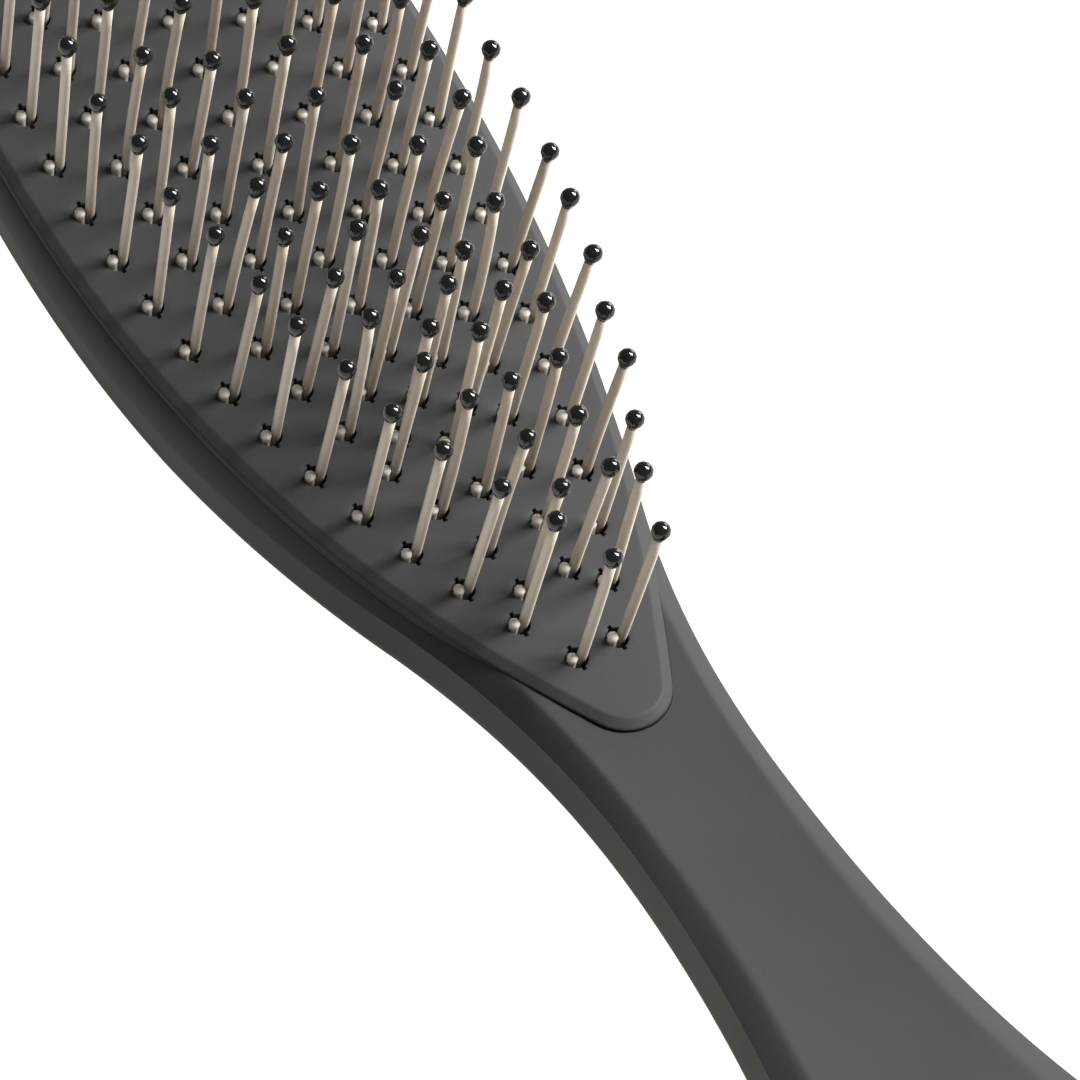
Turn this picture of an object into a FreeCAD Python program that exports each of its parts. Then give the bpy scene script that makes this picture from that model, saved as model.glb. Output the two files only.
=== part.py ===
import FreeCAD, Part
import math
import os
from FreeCAD import Placement, Rotation, Vector

# Detangler brush. It lies on its back: X runs across it, +Y along it to the head's far end,
# +Z from the back to the bristles. A station is a place along Y and a level is a height that
# the handle has, which the head carries up along its bend.

SIZES = [
    # Plan of the bristle pad: a rounded point, two long side arcs and a round far end
    ("pad_half_width", 23.45),
    ("pad_wide_station", 71.5),
    ("pad_side_radius", 168.0),
    ("pad_point_radius", 4.6),
    ("pad_end_length", 42.5),
    ("pad_thickness", 5.6),
    ("pad_proud", 0.9),
    ("pad_bevel_run", 1.25),
    ("pad_bevel_drop", 0.7),
    # Plan of the body: rim round the pad, neck, flared handle and round butt
    ("rim_width", 1.2),
    ("neck_station", -19.0),
    ("neck_half_width", 8.85),
    ("flare_radius", 155.0),
    ("belly_radius", 60.0),
    ("belly_half_width", 16.5),
    ("butt_length", 29.0),
    # Side view: a straight handle, and a head that bends up in one long arc
    ("body_thickness", 13.0),
    ("bend_station", 6.0),
    ("bend_radius", 330.0),
    ("head_front_edge_radius", 2.5),
    ("handle_front_edge_radius", 4.0),
    ("head_back_edge_radius", 3.8),
    ("handle_back_edge_radius", 7.0),
    ("head_deep_station", 45.0),
    ("least_side_wall", 0.5),
    # Recess for the pad, with a ledge under its edge and a hollow below
    ("recess_clearance", 0.2),
    ("ledge_width", 2.2),
    ("back_wall", 3.2),
    # Bristle field: seven columns that follow the pad's sides
    ("row_step", 3.0),
    ("point_margin", 9.3),
    ("side_margin", 4.7),
    ("outer_column_gap", 5.9),
    ("inner_column_gap", 6.0),
    ("outer_column_least", 2.0),
    ("second_column_least", 2.55),
    ("third_column_least", 3.8),
    ("centre_column_room", 10.3),
    ("lean_angle", 8.6),
    # Folded filament: a long leg with a tip, and a short leg beside it
    ("filament_diameter", 1.05),
    ("leg_gap", 0.1),
    ("long_leg", 21.2),
    ("short_leg", 1.3),
    # Bead on the long leg, drawn down to a neck round the stem
    ("bead_diameter", 1.9),
    ("bead_grip", 0.65),
    ("bead_neck_wall", 0.1),
    ("bead_neck_length", 0.35),
    ("bead_shoulder_inset", 0.1),
    # Tuft hole, and the flat anchor that is driven into each fold
    ("hole_floor", 1.4),
    ("hole_clearance", 0.05),
    ("anchor_thickness", 0.25),
    ("anchor_height", 1.6),
    ("anchor_length", 2.9),
    ("anchor_clearance", 0.05),
]

doc = FreeCAD.newDocument("detangler_brush")
sheet = doc.addObject("Spreadsheet::Sheet", "Sizes")
for line, (alias, value) in enumerate(SIZES, start=1):
    sheet.set("A%d" % line, alias)
    sheet.set("B%d" % line, str(value))
    sheet.setAlias("B%d" % line, alias)
doc.recompute()


def size(alias):
    return float(sheet.get(alias))


# Pad: its point and end circles lie inside the side arcs and touch them
wide_y = size("pad_wide_station")
side_radius = size("pad_side_radius")
side_centre_x = side_radius - size("pad_half_width")


def end_circle_radius(arc_radius, arc_centre_x, length):
    """Radius of the end circle, on the middle line, that touches both side arcs and ends at length."""
    return (arc_radius ** 2 - arc_centre_x ** 2 - length ** 2) / (2 * (arc_radius - length))


point_radius = size("pad_point_radius")
point_y = wide_y - math.sqrt((side_radius - point_radius) ** 2 - side_centre_x ** 2)
end_radius = end_circle_radius(side_radius, side_centre_x, size("pad_end_length"))
end_y = wide_y + size("pad_end_length") - end_radius

# Body: its arcs touch one another, so the neck's radius and the belly's place follow
neck_y = size("neck_station")
neck_x = size("neck_half_width")
head_radius = side_radius + size("rim_width")
neck_reach = side_centre_x + neck_x
neck_radius = (neck_reach ** 2 + (wide_y - neck_y) ** 2 - head_radius ** 2) / (2 * (head_radius - neck_reach))
flare_radius = size("flare_radius")
belly_radius = size("belly_radius")
belly_centre_x = belly_radius - size("belly_half_width")
flare_reach = neck_x + flare_radius + belly_centre_x
belly_y = neck_y - math.sqrt((flare_radius + belly_radius) ** 2 - flare_reach ** 2)
butt_radius = end_circle_radius(belly_radius, belly_centre_x, size("butt_length"))
butt_end = belly_y - size("butt_length")
butt_y = butt_end + butt_radius
head_end = end_y + end_radius + size("rim_width")
origin_y = (head_end + butt_end) / 2
flare_start_y = belly_y + (neck_y - belly_y) * belly_radius / (flare_radius + belly_radius)
neck_end_y = wide_y + (neck_y - wide_y) * head_radius / (head_radius + neck_radius)
head_deep_y = size("head_deep_station")

# Side view: every level of the head is an arc about one line across the brush
front_level = size("body_thickness")
back_level = 0.0
pad_front = front_level + size("pad_proud")
seat_level = pad_front - size("pad_thickness")
open_level = pad_front + front_level
bend_y = size("bend_station")
bend_centre_z = pad_front + size("bend_radius")
overrun = front_level + (head_end - butt_end)


def level_height(level, y):
    """Height of a level at station y."""
    if y <= bend_y:
        return level
    return bend_centre_z - math.sqrt((bend_centre_z - level) ** 2 - (y - bend_y) ** 2)


def towards(centre, other, distance):
    """Point at a distance from a centre, on the line from it through another point."""
    step = other - centre
    return centre + step * (distance / step.Length)


def arc(start, end, centre, radius):
    """Start, middle and end of an arc of less than a half turn."""
    return start, towards(centre, (start + end) * 0.5, radius), end


def mirrored(point):
    return Vector(-point.x, point.y, point.z)


def outline_face(right_arcs):
    """Face inside an outline, from the arcs of its right half in order along +Y."""
    edges = [Part.Arc(*points).toShape() for points in right_arcs]
    for start, middle, end in reversed(right_arcs):
        edges.append(Part.Arc(mirrored(end), mirrored(middle), mirrored(start)).toShape())
    return Part.Face(Part.Wire(edges))


def pad_outline(offset):
    """The pad's plan, grown by an offset."""
    side_centre = Vector(-side_centre_x, wide_y, 0)
    point_centre = Vector(0, point_y, 0)
    end_centre = Vector(0, end_y, 0)
    foot = Vector(0, point_y - point_radius - offset, 0)
    crown = Vector(0, end_y + end_radius + offset, 0)
    lower = towards(side_centre, point_centre, side_radius + offset)
    upper = towards(side_centre, end_centre, side_radius + offset)
    return outline_face([
        arc(foot, lower, point_centre, point_radius + offset),
        arc(lower, upper, side_centre, side_radius + offset),
        arc(upper, crown, end_centre, end_radius + offset),
    ])


def body_outline():
    """The body's plan: butt, belly, flare, neck, side of the head and far end."""
    butt_centre = Vector(0, butt_y, 0)
    belly_centre = Vector(-belly_centre_x, belly_y, 0)
    flare_centre = Vector(neck_x + flare_radius, neck_y, 0)
    neck_centre = Vector(neck_x + neck_radius, neck_y, 0)
    head_centre = Vector(-side_centre_x, wide_y, 0)
    end_centre = Vector(0, end_y, 0)
    foot = Vector(0, butt_end, 0)
    belly_start = towards(belly_centre, butt_centre, belly_radius)
    flare_start = towards(belly_centre, flare_centre, belly_radius)
    neck = Vector(neck_x, neck_y, 0)
    head_start = towards(head_centre, neck_centre, head_radius)
    deep_x = math.sqrt(head_radius ** 2 - (head_deep_y - wide_y) ** 2) - side_centre_x
    head_deep = Vector(deep_x, head_deep_y, 0)
    end_start = towards(head_centre, end_centre, head_radius)
    crown = Vector(0, head_end, 0)
    return outline_face([
        arc(foot, belly_start, butt_centre, butt_radius),
        arc(belly_start, flare_start, belly_centre, belly_radius),
        arc(flare_start, neck, flare_centre, flare_radius),
        arc(neck, head_start, neck_centre, neck_radius),
        arc(head_start, head_deep, head_centre, head_radius),
        arc(head_deep, end_start, head_centre, head_radius),
        arc(end_start, crown, end_centre, end_radius + size("rim_width")),
    ])


def level_line(level):
    """Side view of one level, longer than the brush: straight, then an arc."""
    stations = [butt_end - front_level, bend_y, (bend_y + overrun) / 2, overrun]
    near, bend, middle, far = [Vector(0, y, level_height(level, y)) for y in stations]
    return [Part.LineSegment(near, bend).toShape(), Part.Arc(bend, middle, far).toShape()]


def band_face(lower_level, upper_level):
    """Side view of the band between two levels."""
    lower = level_line(lower_level)
    upper = level_line(upper_level)
    near = Part.makeLine(lower[0].firstVertex().Point, upper[0].firstVertex().Point)
    far = Part.makeLine(lower[1].lastVertex().Point, upper[1].lastVertex().Point)
    return Part.Face(Part.Wire(Part.sortEdges(lower + upper + [near, far])[0]))


def shape_object(name, shape):
    item = doc.addObject("Part::Feature", name)
    item.Shape = shape
    return item


def extrusion(name, face, direction):
    item = doc.addObject("Part::Extrusion", name)
    item.Base = shape_object(name + "_face", face)
    item.DirMode = "Custom"
    item.Dir = direction
    item.LengthFwd = 2 * overrun
    item.Symmetric = True
    item.Solid = True
    return item


def banded(name, outline, lower_level, upper_level):
    """Solid with a given plan, between two levels of the side view."""
    plan = extrusion(name + "_plan", outline, Vector(0, 0, 1))
    side = extrusion(name + "_side", band_face(lower_level, upper_level), Vector(1, 0, 0))
    item = doc.addObject("Part::MultiCommon", name)
    item.Shapes = [plan, side]
    doc.recompute()
    return item


def cut(name, base, tool):
    item = doc.addObject("Part::Cut", name)
    item.Base = base
    item.Tool = tool
    return item


def edges_round(shape, level):
    """Numbers of the edges round a shape's face at a level, leaving out the bend line inside it."""
    touching = 0.01
    found = []
    for number, edge in enumerate(shape.Edges, start=1):
        middle = edge.valueAt((edge.FirstParameter + edge.LastParameter) / 2)
        first, last = edge.firstVertex().Point, edge.lastVertex().Point
        bend_line = abs(first.y - last.y) < touching and abs(middle.x) < touching
        if abs(middle.z - level_height(level, middle.y)) < touching and not bend_line:
            found.append(number)
    return found


def rounding(shape, level, near_radius, near_y, far_radius, far_y):
    """Edges round a face with their end radii, which pass evenly from a near to a far station."""
    def radius_at(point):
        share = min(max((point.y - near_y) / (far_y - near_y), 0), 1)
        return near_radius + (far_radius - near_radius) * share
    found = []
    for number in edges_round(shape, level):
        edge = shape.Edges[number - 1]
        found.append((number, radius_at(edge.firstVertex().Point), radius_at(edge.lastVertex().Point)))
    return found


# Body: head and handle in one piece, rounded all round, with the pad's recess
blank = banded("body_blank", body_outline(), back_level, front_level)
handle_front = size("handle_front_edge_radius")
head_front = size("head_front_edge_radius")
wall_left = min(front_level - max(handle_front, head_front), neck_x) - size("least_side_wall")
handle_back = min(size("handle_back_edge_radius"), wall_left)
head_back = min(size("head_back_edge_radius"), wall_left)
rounded = doc.addObject("Part::Fillet", "body_rounded")
rounded.Base = blank
rounded.Edges = (rounding(blank.Shape, front_level, handle_front, flare_start_y, head_front, neck_y)
                 + rounding(blank.Shape, back_level, handle_back, neck_end_y, head_back, head_deep_y))
recess = banded("pad_recess", pad_outline(size("recess_clearance")), seat_level, open_level)
hollow = banded("hollow_below", pad_outline(-size("ledge_width")), size("back_wall"), open_level)
recessed = cut("body_recessed", rounded, recess)
body = cut("body", recessed, hollow)


# Bristle sites: a zigzag row is two neighbouring lines across the field, half a pitch apart
def field_half_width(y):
    """Half the width of the bristle field at station y, which is 0 past its end."""
    margin = size("side_margin")
    end_start = wide_y + (end_y - wide_y) * (side_radius - margin) / (side_radius - end_radius)
    if y > end_start:
        return math.sqrt(max((end_radius - margin) ** 2 - (y - end_y) ** 2, 0))
    return math.sqrt((side_radius - margin) ** 2 - (y - wide_y) ** 2) - side_centre_x


def eased(distance, least):
    """Distance of a column from the middle line, turned smoothly aside at its least value."""
    return (max(distance, 0) ** 4 + least ** 4) ** 0.25


def side_columns(half_width, even_line):
    """Distances from the middle line of the columns that stand in pairs on one line."""
    second = half_width - size("outer_column_gap")
    third = second - size("inner_column_gap")
    if not even_line:
        return [eased(second, size("second_column_least"))] if second > 0 else []
    columns = [half_width] if half_width > size("outer_column_least") else []
    if third > 0:
        columns.append(eased(third, size("third_column_least")))
    return columns


def line_sites(line_number):
    """Bristle sites on one line across the field."""
    y = point_y - point_radius + size("point_margin") + line_number * size("row_step")
    half_width = field_half_width(y)
    even_line = line_number % 2 == 0
    across = []
    for column in side_columns(half_width, even_line):
        across += [-column, column]
    if not even_line and half_width > size("centre_column_room"):
        across.append(0.0)
    return [Vector(x, y, level_height(pad_front, y)) for x in across]


line_count = int((end_y + end_radius - point_y) / size("row_step"))
site_rows = [line_sites(first) + line_sites(first + 1) for first in range(0, line_count, 2)]
site_rows = [sites for sites in site_rows if sites]
all_sites = [site for sites in site_rows for site in sites]
lean = Rotation(Vector(1, 0, 0), size("lean_angle"))


def repeated(item, sites):
    """Copies of an object's shape, one leaning at each site."""
    copies = []
    for site in sites:
        copy = item.Shape.copy()
        copy.Placement = Placement(site, lean).multiply(copy.Placement)
        copies.append(copy)
    return Part.makeCompound(copies)


# One tuft is built upright, with Z = 0 where the hole meets the pad's front
HOLE_DEPTH = "(Sizes.pad_thickness - Sizes.hole_floor)"
SPACING = "(Sizes.filament_diameter + Sizes.leg_gap)"
FOLD_Z = "(%s / 2 + Sizes.filament_diameter / 2 + Sizes.hole_clearance - %s)" % (SPACING, HOLE_DEPTH)
STEM_TOP = "(Sizes.long_leg - Sizes.bead_diameter / 2 + Sizes.bead_grip)"
SHORT_TOP = "(Sizes.short_leg - Sizes.filament_diameter / 2)"
BEAD_FOOT = "(Sizes.long_leg - Sizes.bead_diameter / 2 - Sizes.bead_neck_length)"


def bound(kind, name, sizes):
    """Object of one kind with each of its sizes bound to an expression."""
    item = doc.addObject(kind, name)
    for key, expression in sizes.items():
        item.setExpression(key, expression)
    return item


def leg(name, across, top):
    """One straight leg of the filament, from the fold up."""
    return bound("Part::Cylinder", name, {
        "Radius": "Sizes.filament_diameter / 2",
        "Height": "%s - %s" % (top, FOLD_Z),
        "Placement.Base.x": across,
        "Placement.Base.z": FOLD_Z,
    })


def upright_box(name, thickness, length, height, foot):
    """Box that stands across the fold, centred on the hole."""
    return bound("Part::Box", name, {
        "Length": thickness,
        "Width": length,
        "Height": height,
        "Placement.Base.x": "-(%s) / 2" % thickness,
        "Placement.Base.y": "-(%s) / 2" % length,
        "Placement.Base.z": foot,
    })


# Filament: two legs side by side in one hole, joined by a half-turn fold
long_leg = leg("long_leg", "%s / 2" % SPACING, STEM_TOP)
short_leg = leg("short_leg", "-%s / 2" % SPACING, SHORT_TOP)
short_end = bound("Part::Sphere", "short_end", {
    "Radius": "Sizes.filament_diameter / 2",
    "Placement.Base.x": "-%s / 2" % SPACING,
    "Placement.Base.z": SHORT_TOP,
})
fold = doc.addObject("Part::Torus", "fold")
fold.Placement.Rotation = Rotation(Vector(1, 0, 0), -90)
fold.Angle3 = 180
fold.setExpression("Radius1", "%s / 2" % SPACING)
fold.setExpression("Radius2", "Sizes.filament_diameter / 2")
fold.setExpression("Placement.Base.z", FOLD_Z)
filament_blank = doc.addObject("Part::MultiFuse", "filament_blank")
filament_blank.Shapes = [long_leg, short_leg, short_end, fold]
filament_blank.Refine = True

# Anchor: a flat strip driven down between the legs, which it dents
anchor = upright_box("anchor", "Sizes.anchor_thickness", "Sizes.anchor_length", "Sizes.anchor_height",
                     "%s - Sizes.leg_gap / 2" % FOLD_Z)
filament = cut("filament", filament_blank, anchor)

# Tip: a bead over the long leg's end, with a short neck below it
bead = bound("Part::Sphere", "bead", {
    "Radius": "Sizes.bead_diameter / 2",
    "Placement.Base.x": "%s / 2" % SPACING,
    "Placement.Base.z": "Sizes.long_leg",
})
bead_neck = bound("Part::Cone", "bead_neck", {
    "Radius1": "Sizes.filament_diameter / 2 + Sizes.bead_neck_wall",
    "Radius2": "Sizes.bead_diameter / 2 - Sizes.bead_shoulder_inset",
    "Height": "Sizes.long_leg - %s" % BEAD_FOOT,
    "Placement.Base.x": "%s / 2" % SPACING,
    "Placement.Base.z": BEAD_FOOT,
})
bead_blank = doc.addObject("Part::MultiFuse", "bead_blank")
bead_blank.Shapes = [bead, bead_neck]
tip = cut("tip", bead_blank, long_leg)

# Tuft hole: round, with a notch on each side for the anchor's ends
bore = bound("Part::Cylinder", "bore", {
    "Radius": "(%s + Sizes.filament_diameter) / 2 + Sizes.hole_clearance" % SPACING,
    "Height": "2 * %s" % HOLE_DEPTH,
    "Placement.Base.z": "-%s" % HOLE_DEPTH,
})
notch = upright_box("notch", "Sizes.anchor_thickness + 2 * Sizes.anchor_clearance",
                    "Sizes.anchor_length + 2 * Sizes.anchor_clearance", "2 * %s" % HOLE_DEPTH,
                    "-%s" % HOLE_DEPTH)
tuft_hole = doc.addObject("Part::MultiFuse", "tuft_hole")
tuft_hole.Shapes = [bore, notch]
tuft_hole.Refine = True

# Bristle pad: a bent plate with a bevelled front edge and a hole at each site
pad_blank = banded("pad_blank", pad_outline(0), seat_level, pad_front)
front_edges = [pad_blank.Shape.Edges[number - 1] for number in edges_round(pad_blank.Shape, pad_front)]
pad_bevelled = shape_object("pad_bevelled", pad_blank.Shape.makeChamfer(
    size("pad_bevel_drop"), size("pad_bevel_run"), front_edges))
tuft_holes = shape_object("tuft_holes", repeated(tuft_hole, all_sites))
pad = cut("pad", pad_bevelled, tuft_holes)
doc.recompute()

# Each finished piece is set with the origin under the middle of the brush
pieces = {
    "brush_body": body.Shape,
    "bristle_pad": pad.Shape,
    "tuft_anchors": repeated(anchor, all_sites),
}
for number, sites in enumerate(site_rows, start=1):
    pieces["bristle_row_%02d" % number] = repeated(filament, sites)
    pieces["tip_row_%02d" % number] = repeated(tip, sites)
finished = {}
for name, shape in pieces.items():
    finished[name] = shape_object(name, shape)
    finished[name].Label = name
    finished[name].Placement = Placement(Vector(0, -origin_y, 0), Rotation())
doc.recompute()

for item in doc.Objects:
    if "Invalid" in item.State or "Error" in item.State:
        raise RuntimeError("failed object: " + item.Name)
for name, item in finished.items():
    if item.Shape.isNull() or not item.Shape.isValid():
        raise RuntimeError("bad shape: " + name)
os.makedirs("parts", exist_ok=True)
for name, item in finished.items():
    item.Shape.exportStep("parts/%s.step" % name)
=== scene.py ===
import math

import bpy
import numpy as np
from mathutils import Matrix, Vector
from mathutils.geometry import delaunay_2d_cdt


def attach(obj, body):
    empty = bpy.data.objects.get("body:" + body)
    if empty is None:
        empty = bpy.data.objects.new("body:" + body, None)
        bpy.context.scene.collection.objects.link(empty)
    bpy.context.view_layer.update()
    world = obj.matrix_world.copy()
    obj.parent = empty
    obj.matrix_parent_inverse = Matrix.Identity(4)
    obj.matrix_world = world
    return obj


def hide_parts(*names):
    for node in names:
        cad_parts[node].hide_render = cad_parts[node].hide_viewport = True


# Detangler brush, lying on its back: X across it, +Y towards the head's far end, +Z up.
# Sizes are in millimetres here and become metres in the meshes. Lights and floor are in metres.
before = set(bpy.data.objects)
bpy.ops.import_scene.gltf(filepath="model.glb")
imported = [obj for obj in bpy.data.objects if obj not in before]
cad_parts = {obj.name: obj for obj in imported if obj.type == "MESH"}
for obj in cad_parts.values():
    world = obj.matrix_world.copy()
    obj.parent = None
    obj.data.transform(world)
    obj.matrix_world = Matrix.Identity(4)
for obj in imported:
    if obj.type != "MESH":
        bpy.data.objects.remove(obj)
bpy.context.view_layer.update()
MM = 0.001
SEED = 4
RNG = np.random.default_rng(SEED)
TINY = 1e-6
ON_AXIS = 1e-9

# Plan and side view, as the solids have them. Stations are taken before the shift to the origin.
PAD_HALF_WIDTH = 23.45
PAD_WIDE_Y = 71.5
PAD_SIDE_R = 168.0
PAD_POINT_R = 4.6
PAD_END_LENGTH = 42.5
PAD_THICKNESS = 5.6
PAD_PROUD = 0.9
RIM_WIDTH = 1.2
NECK_Y = -19.0
NECK_HALF_WIDTH = 8.85
FLARE_R = 155.0
BELLY_R = 60.0
BELLY_HALF_WIDTH = 16.5
BUTT_LENGTH = 29.0
BODY_THICKNESS = 13.0
BEND_Y = 6.0
BEND_R = 330.0
HEAD_DEEP_Y = 45.0
RECESS_CLEARANCE = 0.2

# Edge roundings of the body: front and back, at the handle and at the head
HANDLE_FRONT_R = 4.0
HEAD_FRONT_R = 2.5
HANDLE_BACK_R = 7.0
HEAD_BACK_R = 3.8

# Bristle field and tufts
ROW_STEP = 3.0
POINT_MARGIN = 9.3
SIDE_MARGIN = 4.7
OUTER_COLUMN_GAP = 5.9
INNER_COLUMN_GAP = 6.0
OUTER_COLUMN_LEAST = 2.0
SECOND_COLUMN_LEAST = 2.55
THIRD_COLUMN_LEAST = 3.8
CENTRE_COLUMN_ROOM = 10.3
LEAN = math.radians(8.6)
FILAMENT_R = 0.525
LEG_SPACING = 1.15
LONG_LEG = 21.2
SHORT_LEG = 1.05
BEAD_R = 0.95
HOLE_R = 1.15
HOLE_DEPTH = 4.2
NOTCH_REACH = 1.5
NOTCH_HALF_WIDTH = 0.175

# Arcs that touch one another fix these
SIDE_X = PAD_SIDE_R - PAD_HALF_WIDTH
POINT_Y = PAD_WIDE_Y - math.sqrt((PAD_SIDE_R - PAD_POINT_R) ** 2 - SIDE_X ** 2)


def end_circle(radius, centre_x, length):
    """Radius of the circle on the middle line that touches a side arc and its mirror image."""
    return (radius ** 2 - centre_x ** 2 - length ** 2) / (2 * (radius - length))


PAD_END_R = end_circle(PAD_SIDE_R, SIDE_X, PAD_END_LENGTH)
PAD_END_Y = PAD_WIDE_Y + PAD_END_LENGTH - PAD_END_R
HEAD_R = PAD_SIDE_R + RIM_WIDTH
NECK_REACH = SIDE_X + NECK_HALF_WIDTH
NECK_R = (NECK_REACH ** 2 + (PAD_WIDE_Y - NECK_Y) ** 2 - HEAD_R ** 2) / (2 * (HEAD_R - NECK_REACH))
BELLY_X = BELLY_R - BELLY_HALF_WIDTH
BELLY_Y = NECK_Y - math.sqrt((FLARE_R + BELLY_R) ** 2 - (NECK_HALF_WIDTH + FLARE_R + BELLY_X) ** 2)
BUTT_R = end_circle(BELLY_R, BELLY_X, BUTT_LENGTH)
BUTT_Y = BELLY_Y - BUTT_LENGTH + BUTT_R
FLARE_END_Y = BELLY_Y + (NECK_Y - BELLY_Y) * BELLY_R / (FLARE_R + BELLY_R)
NECK_END_Y = PAD_WIDE_Y + (NECK_Y - PAD_WIDE_Y) * HEAD_R / (HEAD_R + NECK_R)
ORIGIN_Y = (PAD_END_Y + PAD_END_R + RIM_WIDTH + BUTT_Y - BUTT_R) / 2
PAD_FRONT = BODY_THICKNESS + PAD_PROUD
SEAT = PAD_FRONT - PAD_THICKNESS
BEND_Z = PAD_FRONT + BEND_R


def level_height(level, y):
    """Height of a level: flat along the handle, and past the bend an arc about one line across."""
    run = np.maximum(y - BEND_Y, 0)
    return BEND_Z - np.sqrt((BEND_Z - level) ** 2 - run ** 2)


def placed(points):
    """Design points in millimetres, moved to the brush's origin and scaled to metres."""
    return (np.asarray(points, dtype=float) - [0, ORIGIN_Y, 0]) * MM


# Meshes
DISTANCE_BLOCK = 2000
ARC_STEPS_LEAST = 3
WELD_DIGITS = 4


def make_piece(name, points, faces, material, attributes):
    """Object from points in millimetres, face arrays of one side count each and point values."""
    mesh = bpy.data.meshes.new(name)
    corners = np.concatenate([np.asarray(block).ravel() for block in faces])
    totals = np.concatenate([np.full(len(block), np.shape(block)[1]) for block in faces])
    starts = np.concatenate([[0], np.cumsum(totals)[:-1]])
    mesh.vertices.add(len(points))
    mesh.vertices.foreach_set("co", placed(points).ravel())
    mesh.loops.add(len(corners))
    mesh.loops.foreach_set("vertex_index", corners.astype(np.int32))
    mesh.polygons.add(len(totals))
    mesh.polygons.foreach_set("loop_start", starts.astype(np.int32))
    mesh.polygons.foreach_set("loop_total", totals.astype(np.int32))
    mesh.update(calc_edges=True)
    mesh.validate()
    mesh.polygons.foreach_set("use_smooth", np.ones(len(mesh.polygons), dtype=bool))
    for key, values in attributes.items():
        layer = mesh.attributes.new(key, "FLOAT", "POINT")
        layer.data.foreach_set("value", np.asarray(values, dtype=np.float32))
    mesh.materials.append(material)
    piece = bpy.data.objects.new(name, mesh)
    bpy.context.scene.collection.objects.link(piece)
    return piece


def grid_faces(rows, columns, closed, offset=0):
    """Quads of a grid of points, with its columns joined round where closed."""
    across = np.arange(columns if closed else columns - 1)
    up = np.arange(rows - 1)
    a = up[:, None] * columns + across
    b = up[:, None] * columns + (across + 1) % columns
    return np.stack([a, b, b + columns, a + columns], axis=-1).reshape(-1, 4) + offset


def fill(loops, inner_points):
    """Triangles between outline loops (the first outside, the rest holes) through inner points.

    Returns the plan points in the order loops, then inner points, and the triangles over them.
    """
    edges = []
    start = 0
    for loop in loops:
        number = np.arange(len(loop))
        edges += (start + np.stack([number, (number + 1) % len(loop)], axis=1)).tolist()
        start += len(loop)
    plan = np.concatenate(list(loops) + [inner_points])
    _, _, faces, sources, _, _ = delaunay_2d_cdt(
        [Vector(p) for p in plan.tolist()], edges, [], 0, TINY)
    points = plan[[source[0] for source in sources]]
    faces = np.array(faces)
    return points, faces[inside(points[faces].mean(axis=1), loops[0])]


def inside(points, loop):
    """Which plan points lie inside a closed loop, by counting the edges to their right."""
    x, y = points[:, 0:1], points[:, 1:2]
    ax, ay = loop[:, 0], loop[:, 1]
    bx, by = np.roll(ax, -1), np.roll(ay, -1)
    spans = (ay > y) != (by > y)
    rise = np.where(by == ay, 1, by - ay)
    crossing = x < (bx - ax) * (y - ay) / rise + ax
    return (spans & crossing).sum(axis=1) % 2 == 1


def distance_to(points, loop):
    """Distance from plan points to the nearest edge of a closed loop, a block at a time."""
    step = np.roll(loop, -1, axis=0) - loop
    nearest = np.full(len(points), np.inf)
    for start in range(0, len(points), DISTANCE_BLOCK):
        block = points[start:start + DISTANCE_BLOCK, None, :] - loop
        share = np.clip((block * step).sum(-1) / (step ** 2).sum(-1), 0, 1)
        gap = np.linalg.norm(block - share[..., None] * step, axis=-1)
        nearest[start:start + DISTANCE_BLOCK] = gap.min(axis=1)
    return nearest


def hex_points(loop, pitch, margin):
    """Points of a triangular lattice that lie inside a loop, at least a margin from it."""
    low, high = loop.min(axis=0), loop.max(axis=0)
    rows = np.arange(low[1], high[1], pitch * math.sqrt(3) / 2)
    columns = np.arange(low[0] - pitch, high[0] + pitch, pitch)
    x, y = np.meshgrid(columns, rows)
    x = x + (np.arange(len(rows)) % 2)[:, None] * pitch / 2
    points = np.stack([x.ravel(), y.ravel()], axis=1)
    points = points[inside(points, loop)]
    return points[distance_to(points, loop) > margin]


class Shell:
    """Collects blocks of points and faces, and joins them where they meet.

    Each point also carries painted shade: 1 below the crease and low on the pad's side.
    """

    def __init__(self):
        self.points = []
        self.faces = []
        self.painted_shade = []
        self.count = 0

    def add(self, points, faces, painted_shade=0.0):
        self.points.append(np.asarray(points, dtype=float).reshape(-1, 3))
        self.faces.append(np.asarray(faces) + self.count)
        self.painted_shade.append(np.broadcast_to(painted_shade, np.shape(points)[:-1]).ravel())
        self.count += len(self.points[-1])

    def piece(self, name, material):
        """The joined piece. Adding zero turns a rounded -0 into 0, so that both sides agree."""
        points = np.concatenate(self.points)
        keys = np.round(points, WELD_DIGITS) + 0.0
        _, first, where = np.unique(keys, axis=0, return_index=True, return_inverse=True)
        faces = [where.ravel()[block] for block in self.faces]
        painted_shade = np.concatenate(self.painted_shade)[first]
        return make_piece(name, points[first], faces, material, {"painted_shade": painted_shade})


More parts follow.
